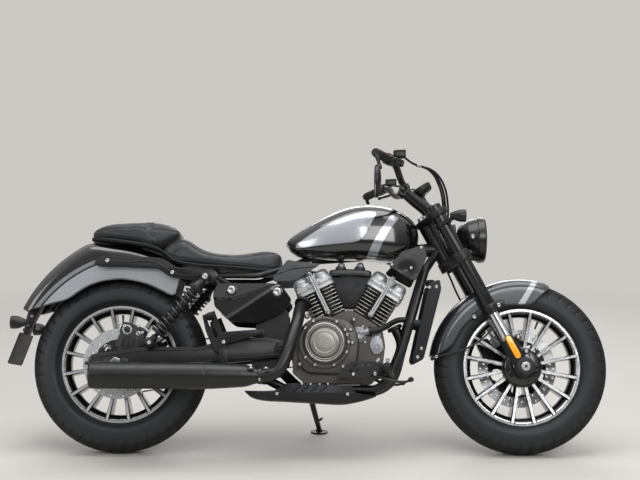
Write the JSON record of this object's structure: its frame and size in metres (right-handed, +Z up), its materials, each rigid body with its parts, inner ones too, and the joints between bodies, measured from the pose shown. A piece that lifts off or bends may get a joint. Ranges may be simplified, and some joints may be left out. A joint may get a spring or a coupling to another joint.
{
  "type": "cruiser motorcycle",
  "caption": "Two-wheeled cruiser motorcycle with an open vee engine, leaning on its side stand, with turning wheels, steering and a folding stand.",
  "frame": {"origin": "on the ground under the middle of the leaning machine's box", "axes": "+X forward, +Z up, +Y to the rider's left, the side that the machine leans to"},
  "size_m": [2.2455, 0.9539, 1.1477],
  "materials": {
    "black_frame": "satin black paint",
    "black_shock": "satin black",
    "steel": "plain steel",
    "black_casting": "matt black casting",
    "bronze_cover": "satin bronze grey",
    "black_fins": "matt black fins",
    "silver_head": "satin silver",
    "grey_casting": "satin grey",
    "black_exhaust": "heat-proof matt black",
    "black_plastic": "moulded matt black",
    "gloss_black_paint": "gloss black paint",
    "graphite_paint": "gloss graphite paint",
    "gloss_black_cover": "gloss black",
    "black_seat": "grained black cover",
    "lamp_black": "black with clear lens",
    "caliper_black": "satin black",
    "belt_rubber": "toothed rubber",
    "black_fork": "gloss black anodised",
    "grip_rubber": "ribbed rubber",
    "cable_rubber": "sheathed",
    "tyre_rubber": "road tyre",
    "black_rim": "gloss black with machined edges",
    "disc_steel": "ground steel"
  },
  "bodies": {
    "chassis": {"frame": "black_frame", "swingarm": "black_frame", "shocks": "black_shock", "rear_axle": "steel", "engine_case": "black_casting", "engine_covers": "bronze_cover", "cylinders": "black_fins", "cylinder_heads": "silver_head", "intake": "grey_casting", "exhaust_pipes": "black_exhaust", "muffler": "black_exhaust", "radiator": "black_plastic", "fuel_tank": "gloss_black_paint", "seat": "black_seat", "rear_fender": "gloss_black_paint", "fender_struts": "black_frame", "rear_lamps": "lamp_black", "plate_bracket": "black_plastic", "body_covers": "gloss_black_cover", "belly_pan": "black_plastic", "footpegs": "black_casting", "foot_levers": "black_casting", "rear_caliper": "caliper_black", "drive_belt": "belt_rubber"},
    "steering": {"triple_clamps": "black_casting", "fork_legs": "black_fork", "handlebar": "black_frame", "grips": "grip_rubber", "controls": "black_casting", "mirrors": "black_casting", "instrument": "black_plastic", "headlight": "lamp_black", "front_signals": "lamp_black", "front_fender": "graphite_paint", "front_axle": "steel", "front_caliper": "caliper_black", "cables": "cable_rubber"},
    "front_wheel": {"front_tyre": "tyre_rubber", "front_rim": "black_rim", "front_disc": "disc_steel"},
    "rear_wheel": {"rear_tyre": "tyre_rubber", "rear_rim": "black_rim", "rear_disc": "disc_steel", "rear_pulley": "black_casting"},
    "side_stand": {"side_stand": "black_frame"}
  },
  "joints": [
    {"name": "steering_head", "type": "hinge", "parent": "chassis", "child": "steering", "pos_m": [0.48604, -0.03596, 0.77669], "axis": [-0.4741, 0.1981, 0.8579], "range_deg": [-34, 34]},
    {"name": "front_wheel_spin", "type": "hinge", "parent": "steering", "child": "front_wheel", "pos_m": [0.79782, -0.14178, 0.31834], "axis": [0, 0.9744, -0.225], "continuous": true},
    {"name": "rear_wheel_spin", "type": "hinge", "parent": "chassis", "child": "rear_wheel", "pos_m": [-0.70818, -0.14083, 0.32249], "axis": [0, 0.9744, -0.225], "continuous": true},
    {"name": "side_stand_pivot", "type": "hinge", "parent": "chassis", "child": "side_stand", "pos_m": [-0.0002, 0.01124, 0.18994], "axis": [-0.0294, 0.8634, 0.5037], "range_deg": [0, 88]}
  ]
}
